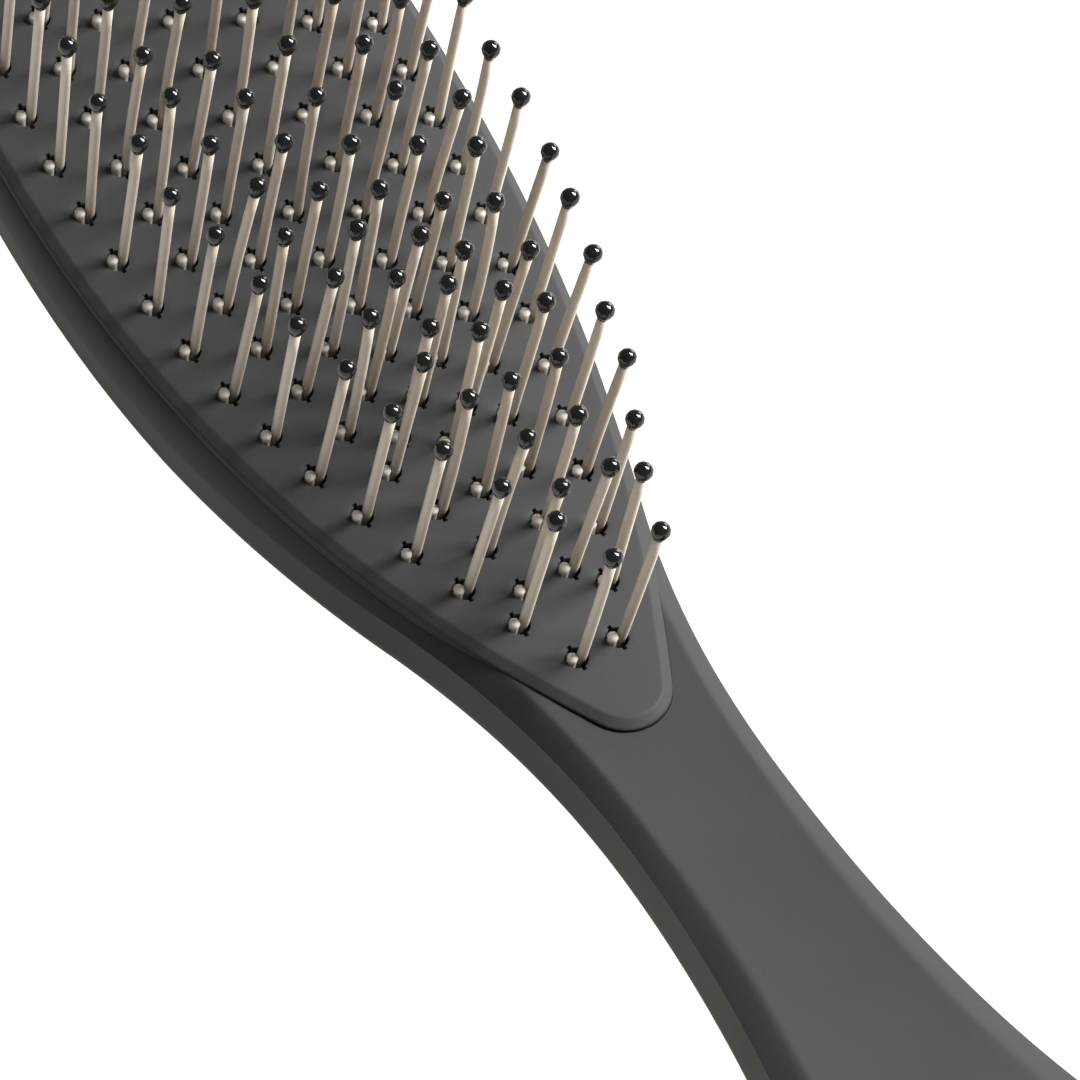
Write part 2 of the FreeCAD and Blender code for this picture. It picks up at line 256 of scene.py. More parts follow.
# Outlines
def chained(arcs, spacing):
    """Closed loop of points and outward normals from the arcs of the right half, foot to crown.

    An arc is (centre, radius, offset, first angle, last angle) of its outward normal; a negative
    radius makes it hollow. Each point is the centre plus the radius and offset times the normal.
    """
    angles = []
    centres = []
    radii = []
    for centre, radius, offset, first, last in arcs:
        count = max(ARC_STEPS_LEAST, math.ceil(abs(radius * (last - first)) / spacing))
        angles.append(np.linspace(first, last, count, endpoint=False))
        centres.append(np.tile(centre, (count, 1)))
        radii.append(np.full(count, radius + offset))
    centre, radius, offset, _, last = arcs[-1]
    angles.append([last])
    centres.append([centre])
    radii.append([radius + offset])
    angle = np.concatenate(angles)
    normal = np.stack([np.cos(angle), np.sin(angle)], axis=1)
    right = np.concatenate(centres) + np.concatenate(radii)[:, None] * normal
    flip = np.array([-1, 1])
    return (np.concatenate([right, right[-2:0:-1] * flip]),
            np.concatenate([normal, normal[-2:0:-1] * flip]))


def turn_to(start, finish):
    """Angle of the line from one plan point to another."""
    return math.atan2(finish[1] - start[1], finish[0] - start[0])


SIDE_CENTRE = (-SIDE_X, PAD_WIDE_Y)
NECK_CENTRE = (NECK_HALF_WIDTH + NECK_R, NECK_Y)
FLARE_CENTRE = (NECK_HALF_WIDTH + FLARE_R, NECK_Y)
BELLY_CENTRE = (-BELLY_X, BELLY_Y)
DOWN = -math.pi / 2
UP = math.pi / 2
POINT_ANGLE = turn_to(SIDE_CENTRE, (0, POINT_Y))
END_ANGLE = turn_to(SIDE_CENTRE, (0, PAD_END_Y))
NECK_ANGLE = turn_to(SIDE_CENTRE, NECK_CENTRE)
FLARE_ANGLE = turn_to(BELLY_CENTRE, FLARE_CENTRE)
BUTT_ANGLE = turn_to(BELLY_CENTRE, (0, BUTT_Y))


def pad_loop(offset, spacing):
    """The pad's outline, grown by an offset, with a point where the neck's arc leaves the head."""
    return chained([
        ((0, POINT_Y), PAD_POINT_R, offset, DOWN, POINT_ANGLE),
        (SIDE_CENTRE, PAD_SIDE_R, offset, POINT_ANGLE, NECK_ANGLE),
        (SIDE_CENTRE, PAD_SIDE_R, offset, NECK_ANGLE, END_ANGLE),
        ((0, PAD_END_Y), PAD_END_R, offset, END_ANGLE, UP),
    ], spacing)


def body_loop(spacing):
    """The body's outline: butt, belly, flare, neck, side and far end."""
    return chained([
        ((0, BUTT_Y), BUTT_R, 0, DOWN, BUTT_ANGLE),
        (BELLY_CENTRE, BELLY_R, 0, BUTT_ANGLE, FLARE_ANGLE),
        (FLARE_CENTRE, -FLARE_R, 0, FLARE_ANGLE, 0),
        (NECK_CENTRE, -NECK_R, 0, 0, NECK_ANGLE),
        (SIDE_CENTRE, PAD_SIDE_R, RIM_WIDTH, NECK_ANGLE, END_ANGLE),
        ((0, PAD_END_Y), PAD_END_R, RIM_WIDTH, END_ANGLE, UP),
    ], spacing)


def halves(points):
    """Right and left halves of some plan points, each in order of station."""
    ordered = points[np.argsort(points[:, 1], kind="stable")]
    on_right = ordered[:, 0] >= -ON_AXIS
    return ordered[on_right], ordered[~on_right]


# Edges that turn by more than this stay sharp, such as the recess's and the holes' bottoms
SHARP = math.radians(32)
# Spacing of the outlines' points, and pitch and margin of the lattices of points inside them
OUTLINE_STEP = 0.9
FRONT_LATTICE = (3.2, 1.2)
BACK_LATTICE = (4.0, 1.5)
PAD_LATTICE = (2.4, 0.9)
HIDDEN_LATTICE = (5.0, 2.0)
# Rows of the body's section: the front edge's curve, the flank as shares of it, and the underside
EDGE_ROWS = 13
FLANK_SHARES = (0.05, 0.35, 0.7, 1)
BACK_ROWS = 12
# The flank leans in below the crease, down to its foot
FLANK = math.tan(math.radians(7))
FLANK_FOOT = 5.0
HEAD_FLANK_FOOT = 3.6
# The crease as station and level, and as station and inset, both softened over a run each way
CREASE_LEVELS = [(FLARE_END_Y, 11.4), (NECK_Y, 11.8), (20.0, 9.75), (HEAD_DEEP_Y, 7.8)]
CREASE_INSETS = [(BELLY_Y, 0.1), (FLARE_END_Y, 0.85), (NECK_Y, 0.3), (HEAD_DEEP_Y, 0.0)]
FAIRING = 9.0
FAIRING_STEPS = 9
# Middle control point of the front edge's curve, as a share of its width
NECK_SHOULDER = 0.83
HEAD_SHOULDER = 0.05
# Front: flat rim beside the recess, insets of the rings of points, their room, and the dish
RIM_FLAT = RIM_WIDTH - RECESS_CLEARANCE
FRONT_RINGS = (1.3, 1.6, 1.85, 2.1, 2.3, 2.5, 2.8, 3.2, 3.6, 4.0, 5.0)
RING_CLEARANCE = 0.22
DISH = math.tan(math.radians(6))
DISH_LEAST = 0.1


def between(y, low_y, low, high_y, high):
    """Value that passes evenly from one at a low station to one at a high station."""
    return low + (high - low) * np.clip((y - low_y) / (high_y - low_y), 0, 1)


def front_radius(y):
    """Width of the front edge's rounding, as the solid has it."""
    return between(y, FLARE_END_Y, HANDLE_FRONT_R, NECK_Y, HEAD_FRONT_R)


def back_radius(y):
    """Radius of the back edge's rounding, as the solid has it."""
    return between(y, NECK_END_Y, HANDLE_BACK_R, HEAD_DEEP_Y, HEAD_BACK_R)


def faired(y, marks):
    """Value on straight runs between marks of station and value, averaged to soften corners."""
    stations, values = zip(*marks)
    shifts = np.linspace(-FAIRING, FAIRING, FAIRING_STEPS)
    return np.mean([np.interp(y + shift, stations, values) for shift in shifts], axis=0)


def crease_level(y):
    """Level of the crease round the side, high on the neck and lower along the head."""
    return faired(y, CREASE_LEVELS)


def crease_inset(y):
    """How far the crease lies inside the outline: a little along the neck and the flare."""
    return faired(y, CREASE_INSETS)


def edge_width(y):
    """Width of the front edge's curve, from the crease to where the solid's rounding starts."""
    return front_radius(y) - crease_inset(y)


def shoulder(y):
    """Middle control point of the edge's curve: a chamfer with a shoulder, or a full round."""
    return edge_width(y) * between(y, BEND_Y, NECK_SHOULDER, HEAD_DEEP_Y, HEAD_SHOULDER)


def front_drop(gap, y):
    """How far the rounded front edge lies below the front, a gap in from the outline.

    The edge is a quadratic curve of t from the front at t = 0 to the crease at t = 1. Its distance
    in from the crease is width (1 - t)^2 + 2 shoulder t (1 - t), and the drop is the crease's depth
    times t^2. Here t is solved from the distance.
    """
    full = edge_width(y)
    lead = 2 * (full - shoulder(y))
    left = np.clip(front_radius(y) - gap, 0, full)
    root = np.sqrt(np.maximum(lead ** 2 - 4 * (full - 2 * shoulder(y)) * left, 0))
    share = 2 * left / (lead + root)
    return (BODY_THICKNESS - crease_level(y)) * share ** 2


def body_section(y):
    """Insets and levels of the side, from the rim to the back: a row for each, a column for each y.

    The front edge's curve runs down to the crease, a flank leans in below it, and a quarter
    ellipse turns under to the flat back.
    """
    full = edge_width(y)
    edge = crease_inset(y)
    back = back_radius(y)
    crease = crease_level(y)
    depth = BODY_THICKNESS - crease
    foot = between(y, NECK_END_Y, FLANK_FOOT, HEAD_DEEP_Y, HEAD_FLANK_FOOT)
    first = np.sqrt(front_drop(RIM_FLAT, y) / depth)
    insets = []
    levels = []
    for part in np.linspace(0, 1, EDGE_ROWS):
        share = first + (1 - first) * part
        insets.append(edge + full * (1 - share) ** 2 + 2 * shoulder(y) * share * (1 - share))
        levels.append(BODY_THICKNESS - depth * share ** 2)
    for part in FLANK_SHARES:
        insets.append(edge + ((crease - foot) * FLANK - edge) * part)
        levels.append(crease + (foot - crease) * part)
    start = insets[-1]
    for angle in np.linspace(0, math.pi / 2, BACK_ROWS + 1)[1:]:
        insets.append(start + (back - start) * (1 - np.cos(angle)))
        levels.append(foot * (1 - np.sin(angle)))
    return np.array(insets), np.array(levels)


def front_level(points, gap, loop):
    """Level of the front at plan points: its rounded edge, and a shallow dish along the handle.

    The dish is a parabola across the flat part, and it fades out where the head begins.
    """
    y = points[:, 1]
    right = loop[:len(loop) // 2 + 1]
    half = np.interp(y, right[:, 1], right[:, 0]) - front_radius(y)
    across = np.clip(np.abs(points[:, 0]) / np.maximum(half, DISH_LEAST), 0, 1)
    sag = DISH * np.maximum(half, 0) / 2 * (1 - across ** 2)
    return BODY_THICKNESS - front_drop(gap, y) - sag * between(y, NECK_Y, 1, NECK_END_Y, 0)


def body_surface():
    """The body: an outline carried through its section, with a front, a recess and a back."""
    shell = Shell()
    loop, normal = body_loop(OUTLINE_STEP)
    insets, levels = body_section(loop[:, 1])
    plan = loop - normal * insets[..., None]
    height = level_height(levels, plan[..., 1])
    rows = np.concatenate([plan, height[..., None]], axis=-1)
    # Rows below the crease, and the back, carry painted shade and a painted warm floor reflection
    painted_shade = np.arange(len(insets))[:, None] >= EDGE_ROWS
    shell.add(rows, grid_faces(len(insets), len(loop), True)[:, ::-1], painted_shade.astype(float))

    # Along the head the section starts at the recess's outline, point for point. So the front is
    # filled over the handle only, between the two rims and round the recess's point.
    recess, _ = pad_loop(RECESS_CLEARANCE, OUTLINE_STEP)
    right, left = halves(plan[0][loop[:, 1] < NECK_END_Y + TINY])
    along_head = recess[:, 1] > right[-1, 1] - TINY
    recess_right, recess_left = halves(recess[~along_head])
    front_edge = np.concatenate([right, recess_right[::-1], recess_left, left[::-1]])
    rings = [loop - normal * inset for inset in FRONT_RINGS]
    inner = np.concatenate(rings + [hex_points(front_edge, *FRONT_LATTICE)])
    inner = inner[inside(inner, front_edge)]
    inner = inner[distance_to(inner, front_edge) > RING_CLEARANCE]
    front, triangles = fill([front_edge], inner)
    gap = distance_to(front, loop)
    gap[:len(right)] = RIM_FLAT
    gap[len(front_edge) - len(left):len(front_edge)] = RIM_FLAT
    level = front_level(front, gap, loop)
    shell.add(np.column_stack([front, level_height(level, front[:, 1])]), triangles)

    edge_gap = np.where(along_head, RIM_FLAT, distance_to(recess, loop))
    top = front_level(recess, edge_gap, loop)
    wall = [np.column_stack([recess, level_height(value, recess[:, 1])])
            for value in (top, np.full_like(top, SEAT))]
    shell.add(np.array(wall), grid_faces(2, len(recess), True)[:, ::-1])
    floor, triangles = fill([recess], hex_points(recess, *HIDDEN_LATTICE))
    shell.add(np.column_stack([floor, level_height(SEAT, floor[:, 1])]), triangles)
    under = plan[-1]
    back, triangles = fill([under], hex_points(under, *BACK_LATTICE))
    shell.add(np.column_stack([back, level_height(0.0, back[:, 1])]), triangles[:, ::-1], 1.0)
    return shell


# Bristle sites: seven columns that follow the pad's sides, staggered by half a pitch
FIELD_SIDE_R = PAD_SIDE_R - SIDE_MARGIN
FIELD_END_R = PAD_END_R - SIDE_MARGIN
FIELD_END_START = (PAD_WIDE_Y
                   + (PAD_END_Y - PAD_WIDE_Y) * FIELD_SIDE_R / (PAD_SIDE_R - PAD_END_R))


def field_half_width(y):
    """Half the width of the bristle field, from the pad's side arc or its end circle."""
    if y > FIELD_END_START:
        return math.sqrt(max(FIELD_END_R ** 2 - (y - PAD_END_Y) ** 2, 0))
    return math.sqrt(FIELD_SIDE_R ** 2 - (y - PAD_WIDE_Y) ** 2) - SIDE_X


def eased(distance, least):
    """Distance of a column from the middle line, turned smoothly aside at its least value.

    It is the fourth root of the sum of both values' fourth powers.
    """
    return (max(distance, 0) ** 4 + least ** 4) ** 0.25


def line_sites(line):
    """Plan points of the tufts on one line across the field."""
    y = POINT_Y - PAD_POINT_R + POINT_MARGIN + line * ROW_STEP
    half = field_half_width(y)
    second = half - OUTER_COLUMN_GAP
    third = second - INNER_COLUMN_GAP
    columns = []
    if line % 2 == 0:
        if half > OUTER_COLUMN_LEAST:
            columns.append(half)
        if third > 0:
            columns.append(eased(third, THIRD_COLUMN_LEAST))
    elif second > 0:
        columns.append(eased(second, SECOND_COLUMN_LEAST))
    across = [side * column for column in columns for side in (-1, 1)]
    if line % 2 == 1 and half > CENTRE_COLUMN_ROOM:
        across.append(0.0)
    return [(x, y) for x in across]


LINES = int((PAD_END_Y + PAD_END_R - POINT_Y) / ROW_STEP)
ZIGZAGS = [line_sites(first) + line_sites(first + 1) for first in range(0, LINES, 2)]
SITE_ROWS = [np.array(zigzag) for zigzag in ZIGZAGS if zigzag]
LEAN_AXIS = np.array([0, -math.sin(LEAN), math.cos(LEAN)])
LEAN_SIDE = np.array([0, math.cos(LEAN), math.sin(LEAN)])


def with_height(sites):
    """Tuft sites with their place on the pad's front."""
    return np.column_stack([sites, level_height(PAD_FRONT, sites[:, 1])])


# Pad: how far its wall stands out from the solid's, and its edge as rows of inset and drop
PAD_SWELL = 0.17
PAD_WALL_ROWS = 3
PAD_EDGE_ROWS = [
    (0.0, PAD_FRONT - SEAT), (0.0, 0.95), (0.02, 0.8), (0.07, 0.69), (0.15, 0.6), (0.25, 0.53),
    (0.5, 0.36), (0.85, 0.115), (0.92, 0.07), (1.0, 0.035), (1.1, 0.01), (1.25, 0.0),
]
# Holes: softened mouth as shares of its growth and depth, points of an arc, and passes that
# slide a ring to the front; the notch widens by less than the hole
MOUTH = 0.1
MOUTH_ROWS = [(1.0, 0.0), (0.4, 0.3), (0.0, 1.0)]
HOLE_ARC_POINTS = 11
SLIDE_PASSES = 4
NOTCH_GROWTH = 0.6
# Ring of points round each hole, its room from the pad's border, and the lattice's room from it
HALO_R = 1.95
HALO_POINTS = 14
HALO_MARGIN = 0.4
LATTICE_R = 2.1
HOLE_SEARCH = 3


def hole_outline(grow):
    """Round hole with a square notch on each side for the anchor's ends, grown all round."""
    radius = HOLE_R + grow
    half = NOTCH_HALF_WIDTH + grow * NOTCH_GROWTH
    reach = NOTCH_REACH + grow
    edge = math.asin(half / radius)
    arc = np.linspace(edge - math.pi / 2, math.pi / 2 - edge, HOLE_ARC_POINTS)
    right = np.stack([radius * np.cos(arc), radius * np.sin(arc)], axis=1)
    corners = np.array([[half, reach], [-half, reach]])
    half_turn = np.concatenate([right, corners])
    return np.concatenate([half_turn, -half_turn])


def hole_rings(sites, grow, depth):
    """Rings of all the holes, each run along the tufts' lean to the front, then sunk by a depth."""
    ring = hole_outline(grow)
    base = sites[:, None, :] + ring[None, :, 0:1] * [1, 0, 0] + ring[None, :, 1:2] * LEAN_SIDE
    slide = np.zeros(base.shape[:2])
    for _ in range(SLIDE_PASSES):
        y = base[..., 1] + slide * LEAN_AXIS[1]
        slide = (level_height(PAD_FRONT, y) - base[..., 2]) / LEAN_AXIS[2]
    return base + (slide - depth)[..., None] * LEAN_AXIS


def pad_surface():
    """The pad: a bevelled edge run round its outline, a bent front with holes, and a back."""
    shell = Shell()
    loop, normal = pad_loop(PAD_SWELL, OUTLINE_STEP)
    rows = []
    for inset, drop in PAD_EDGE_ROWS:
        plan = loop - normal * inset
        rows.append(np.column_stack([plan, level_height(PAD_FRONT - drop, plan[:, 1])]))
    # The pad's lowest wall rows carry painted shade, a darker colour for the shade by the seam
    painted_shade = np.arange(len(rows))[:, None] < PAD_WALL_ROWS
    shell.add(np.array(rows), grid_faces(len(rows), len(loop), True), painted_shade.astype(float))

    border = rows[-1][:, :2]
    sites = with_height(np.concatenate(SITE_ROWS))
    sunk = [hole_rings(sites, MOUTH * grow, MOUTH * depth) for grow, depth in MOUTH_ROWS]
    sunk.append(hole_rings(sites, 0, HOLE_DEPTH))
    mouths = sunk[0][..., :2]
    inner = hex_points(border, *PAD_LATTICE)
    near = np.linalg.norm(inner[:, None] - sites[None, :, :2], axis=2).min(axis=1)
    inner = inner[near > LATTICE_R]
    turn = np.linspace(0, 2 * math.pi, HALO_POINTS, endpoint=False)
    circle = np.stack([np.cos(turn), np.sin(turn)], axis=1) * HALO_R
    halo = (sites[:, None, :2] + circle).reshape(-1, 2)
    halo = halo[distance_to(halo, border) > HALO_MARGIN]
    front, triangles = fill([border, *mouths], np.concatenate([inner, halo]))
    middles = front[triangles].mean(axis=1)
    in_hole = np.zeros(len(middles), dtype=bool)
    for site, mouth in zip(sites, mouths):
        close = np.abs(middles - site[:2]).max(axis=1) < HOLE_SEARCH
        in_hole[close] |= inside(middles[close], mouth)
    shell.add(np.column_stack([front, level_height(PAD_FRONT, front[:, 1])]), triangles[~in_hole])

    # Each hole: its wall from the mouth down, closed at the bottom by a fan of triangles
    count = mouths.shape[1]
    around = np.arange(count)
    fan = np.stack([around, (around + 1) % count, np.full(count, count)], axis=1)
    for rings in np.stack(sunk, axis=1):
        shell.add(rings, grid_faces(len(sunk), count, True))
        shell.add(np.concatenate([rings[-1], rings[-1].mean(axis=0)[None]]), fan)
    back, triangles = fill([loop], hex_points(loop, *HIDDEN_LATTICE))
    shell.add(np.column_stack([back, level_height(SEAT, back[:, 1])]), triangles[:, ::-1])
    return shell


# Tufts: how each one leans, bows and differs in length, drawn once for each site
LEAN_SPREAD = 0.012
LEAN_ACROSS = 0.019
BOW_SPREAD = 0.22
SHORT_SPREAD = 0.12
# Filament: points round it, rows of its fold and its long leg, and how much a bead covers
STEM_SIDES = 8
FOLD_STEPS = 3
STEM_ROWS = 6
BEAD_COVERS = 0.3
FOLD_CLEARANCE = 0.05
FOLD_Z = LEG_SPACING / 2 + FILAMENT_R + FOLD_CLEARANCE - HOLE_DEPTH
# Short leg: its cut end as rows of drop and share of the radius, then the rest of its rows
CUT_END = [(0.0, 0.0), (0.07, 0.76), (0.3, 1.07)]
SHORT_FOOT = 0.2
SHORT_ROWS = len(CUT_END) + 2
# Bead: points round it and up it, change of size, and the neck drawn down round the filament
BEAD_SIDES = 12
BEAD_ROWS = 9
BEAD_SPREAD = 0.06
DRAWN_FROM = 0.55
DRAWN_WALL = 0.08
DRAWN_FLARE = 0.15
DRAWN_DROP = 0.25
BEAD_FOOT = 0.05


def tuft_draws(count):
    """Random leans, bows, short-leg lengths and tints for a row of tufts."""
    return {
        "lean": RNG.normal(0, LEAN_SPREAD, (count, 2)) + [LEAN_ACROSS, 0],
        "bow": RNG.normal(0, BOW_SPREAD, (count, 2)),
        "short": RNG.normal(0, SHORT_SPREAD, count),
        "tint": RNG.uniform(0, 1, count),
    }


def swayed(points, draw):
    """Local tuft points moved by the lean, in proportion to height, and by the bow, as its square.

    They drop by the square of that shift over twice the leg's length, as a swung leg does.
    """
    up = np.maximum(points[..., 2:], 0)
    lean = draw["lean"][:, None, None, :]
    bow = draw["bow"][:, None, None, :]
    shift = lean * up + bow * (up / LONG_LEG) ** 2
    moved = points.copy()
    moved[..., :2] += shift
    moved[..., 2] -= (shift ** 2).sum(axis=-1) / (2 * LONG_LEG)
    return moved


def at_sites(points, sites):
    """Local tuft points turned to the lean and set on their sites."""
    return (sites[:, None, None, :] + points[..., 0:1] * [1, 0, 0] + points[..., 1:2] * LEAN_SIDE
            + points[..., 2:3] * LEAN_AXIS)


def filament_path(short_top):
    """Middle line and radius of one folded filament: short leg, half-turn fold, long leg.

    Both ends close to a pole, the short one cut flat with a soft edge.
    """
    half = LEG_SPACING / 2
    long_top = LONG_LEG - BEAD_COVERS
    path = [(-half, short_top - drop, FILAMENT_R * share) for drop, share in CUT_END]
    path += [(-half, z, FILAMENT_R) for z in (SHORT_FOOT, FOLD_Z)]
    for angle in np.linspace(math.pi, 2 * math.pi, FOLD_STEPS + 1)[1:]:
        path.append((half * math.cos(angle), FOLD_Z + half * math.sin(angle), FILAMENT_R))
    path += [(half, z, FILAMENT_R) for z in np.linspace(0, long_top, STEM_ROWS)]
    path.append((half, long_top, 0.0))
    return np.array(path)


def tuft_row_faces(count, rows, sides):
    """Quads of a row of tubes that stand one after the other in a list of points."""
    return np.concatenate([grid_faces(rows, sides, True, number * rows * sides)
                           for number in range(count)])


def filament_row(name, sites, draw, material):
    """One zigzag row of folded filaments: a round section carried along each path."""
    paths = np.array([filament_path(SHORT_LEG + extra) for extra in draw["short"]])
    tangent = np.gradient(paths[:, :, :2], axis=1)
    tangent /= np.maximum(np.linalg.norm(tangent, axis=2, keepdims=True), ON_AXIS)
    tangent[:, :SHORT_ROWS] = [0, -1]
    tangent[:, -1] = [0, 1]
    angle = np.linspace(0, 2 * math.pi, STEM_SIDES, endpoint=False)
    middle_x, middle_z, radius = (paths[..., part, None] for part in range(3))
    local = np.stack([
        middle_x + tangent[..., 1, None] * np.cos(angle) * radius,
        np.sin(angle) * radius,
        middle_z - tangent[..., 0, None] * np.cos(angle) * radius,
    ], axis=-1)
    moved = np.where(local[..., :1] > 0, swayed(local, draw), local)
    points = at_sites(moved, sites)
    count, rows = points.shape[:2]
    cut = np.repeat((np.arange(rows) < len(CUT_END)).astype(float), STEM_SIDES)
    attributes = {
        "tint": np.repeat(draw["tint"], rows * STEM_SIDES),
        "cut_end": np.tile(cut, count),
    }
    faces = tuft_row_faces(count, rows, STEM_SIDES)[:, ::-1]
    return make_piece(name, points.reshape(-1, 3), [faces], material, attributes)


def bead_profile():
    """Radius and height of the bead about its middle: a ball, drawn down to a short neck.

    The neck starts at an angle below the middle, where drawn is 0, and is fully drawn at the pole.
    """
    angle = np.linspace(-math.pi / 2, math.pi / 2, BEAD_ROWS)
    drawn = np.clip((-angle - DRAWN_FROM) / (math.pi / 2 - DRAWN_FROM), 0, 1)
    neck = np.where(drawn > 0, FILAMENT_R + DRAWN_WALL + (1 - drawn) * DRAWN_FLARE, 0)
    radius = np.maximum(BEAD_R * np.cos(angle), neck)
    height = BEAD_R * np.sin(angle) - DRAWN_DROP * drawn ** 1.5
    radius[-1] = 0.0
    return np.concatenate([[0.0], radius]), np.concatenate([[height[0] + BEAD_FOOT], height])


def bead_row(name, sites, draw, material):
    """One row of tips: the bead's profile turned about the end of each long leg."""
    radius, height = (values[:, None] for values in bead_profile())
    angle = np.linspace(0, 2 * math.pi, BEAD_SIDES, endpoint=False)
    size = 1 + (draw["tint"][:, None, None] - 0.5) * BEAD_SPREAD
    local = np.stack([
        LEG_SPACING / 2 + radius * np.cos(angle) * size,
        radius * np.sin(angle) * size,
        (LONG_LEG + height * size) * np.ones(BEAD_SIDES),
    ], axis=-1)
    points = at_sites(swayed(local, draw), sites)
    faces = tuft_row_faces(*points.shape[:3])
    return make_piece(name, points.reshape(-1, 3), [faces], material, {})


# Materials. Noise scales are per metre of object space, and bump distances are in metres.
PLASTIC_SHEEN = 0.07
TONE_SCALE = 45.0
GRAIN_SCALE = 2600.0
GRAIN_SHARE = 0.2
GRAIN_DEPTH = 0.00004
ROUGHNESS_CHANGE = 0.04
STREAK_SCALE = 900.0
STREAK_SHARE = 0.4
SKIN_SCALE = 1400.0
SKIN_DEPTH = 0.00003
STRIP_STRETCH = (4000.0, 200.0, 4000.0)
# Places of a colour Mix node's two colours among its inputs, and of the colour among its outputs
MIX_FROM, MIX_TO, MIX_OUT = 6, 7, 2


def new_material(name):
    """New node material, with its tree and its shader."""
    material = bpy.data.materials.new(name)
    material.use_nodes = True
    tree = material.node_tree
    return material, tree, tree.nodes["Principled BSDF"]


def set_inputs(tree, made, inputs):
    """Sets a node's inputs to values, or links them."""
    for key, value in inputs.items():
        if isinstance(value, bpy.types.NodeSocket):
            tree.links.new(value, made.inputs[key])
        else:
            made.inputs[key].default_value = value


def node(tree, kind, inputs=None, **settings):
    """Shader node with its settings and inputs."""
    made = tree.nodes.new(kind)
    for key, value in settings.items():
        setattr(made, key, value)
    set_inputs(tree, made, inputs or {})
    return made


def object_place(tree):
    """Place in the object's own space."""
    return node(tree, "ShaderNodeTexCoord").outputs["Object"]


def point_value(tree, name):
    """Value that the mesh's points carry under a name."""
    return node(tree, "ShaderNodeAttribute", attribute_name=name).outputs["Fac"]


def noise(tree, place, scale, detail):
    """Noise at a place."""
    inputs = {"Vector": place, "Scale": scale, "Detail": detail}
    return node(tree, "ShaderNodeTexNoise", inputs).outputs["Fac"]


def sum_of(tree, value, share, rest):
    """A share of one value added to another."""
    inputs = {0: value, 1: share, 2: rest}
    return node(tree, "ShaderNodeMath", inputs, operation="MULTIPLY_ADD").outputs[0]


def mixed(tree, factor, start, end):
    """Colour between a linked one and a set one, by a factor."""
    inputs = {"Factor": factor, MIX_FROM: start, MIX_TO: (*end, 1)}
    return node(tree, "ShaderNodeMix", inputs, data_type="RGBA").outputs[MIX_OUT]


def bump(tree, height, strength, distance):
    """Normal bumped by a height."""
    inputs = {"Height": height, "Strength": strength, "Distance": distance}
    return node(tree, "ShaderNodeBump", inputs).outputs[0]


def ramp(tree, value, low, dark, high, light):
    """Colour from dark at a low value to light at a high one."""
    made = tree.nodes.new("ShaderNodeValToRGB")
    tree.links.new(value, made.inputs["Fac"])
    elements = made.color_ramp.elements
    elements[0].position, elements[0].color = low, (*dark, 1)
    elements[1].position, elements[1].color = high, (*light, 1)
    return made.outputs["Color"]


def moulded(name, dark, light, painted_shade, rough, grain):
    """Moulded matte plastic: fine grain, and a slow change of tone and of roughness.

    Where the points carry painted shade, it turns to that painted shade colour.
    """
    material, tree, shader = new_material(name)
    place = object_place(tree)
    slow = noise(tree, place, TONE_SCALE, 3.0)
    fine = noise(tree, place, GRAIN_SCALE, 2.0)
    slow_part = node(tree, "ShaderNodeMath", {0: slow, 1: 1 - GRAIN_SHARE}, operation="MULTIPLY")
    tone = sum_of(tree, fine, GRAIN_SHARE, slow_part.outputs[0])
    roughness = node(tree, "ShaderNodeMapRange", {0: slow, 1: 0.3, 2: 0.7,
                                                  3: rough - ROUGHNESS_CHANGE,
                                                  4: rough + ROUGHNESS_CHANGE})
    set_inputs(tree, shader, {
        "Base Color": mixed(tree, point_value(tree, "painted_shade"),
                            ramp(tree, tone, 0.3, dark, 0.7, light), painted_shade),
        "Roughness": roughness.outputs[0],
        "Specular IOR Level": PLASTIC_SHEEN,
        "Normal": bump(tree, fine, grain, GRAIN_DEPTH),
    })
    return material


def nylon():
    """Bristle nylon: beige, a little see-through, with a whiter cut end on the short leg."""
    material, tree, shader = new_material("nylon")
    streak = noise(tree, object_place(tree), STREAK_SCALE, 2.0)
    tone = sum_of(tree, streak, STREAK_SHARE, point_value(tree, "tint"))
    stem = ramp(tree, tone, 0.1, (0.365, 0.318, 0.266), 1.0, (0.5, 0.457, 0.396))
    set_inputs(tree, shader, {
        "Base Color": mixed(tree, point_value(tree, "cut_end"), stem, (0.6, 0.575, 0.53)),
        "Roughness": 0.5,
        "Subsurface Weight": 0.35,
        "Subsurface Scale": 0.0012,
        "Subsurface Radius": (1.0, 0.75, 0.55),
    })
    return material


def gloss():
    """Bead resin: glossy black with a faint uneven skin."""
    material, tree, shader = new_material("bead_resin")
    skin = noise(tree, object_place(tree), SKIN_SCALE, 1.0)
    set_inputs(tree, shader, {
        "Base Color": ramp(tree, skin, 0.3, (0.003, 0.003, 0.0035), 0.7, (0.007, 0.0065, 0.0065)),
        "Roughness": 0.09,
        "Normal": bump(tree, skin, 0.25, SKIN_DEPTH),
    })
    return material


def steel():
    """Drawn strip steel for the anchors, with fine lines along it."""
    material, tree, shader = new_material("strip_steel")
    inputs = {"Vector": object_place(tree), "Scale": STRIP_STRETCH}
    lines = noise(tree, node(tree, "ShaderNodeMapping", inputs).outputs[0], 1.0, 2.0)
    set_inputs(tree, shader, {
        "Base Color": ramp(tree, lines, 0.3, (0.42, 0.42, 0.41), 0.7, (0.6, 0.6, 0.58)),
        "Metallic": 1.0,
        "Roughness": 0.35,
    })
    return material


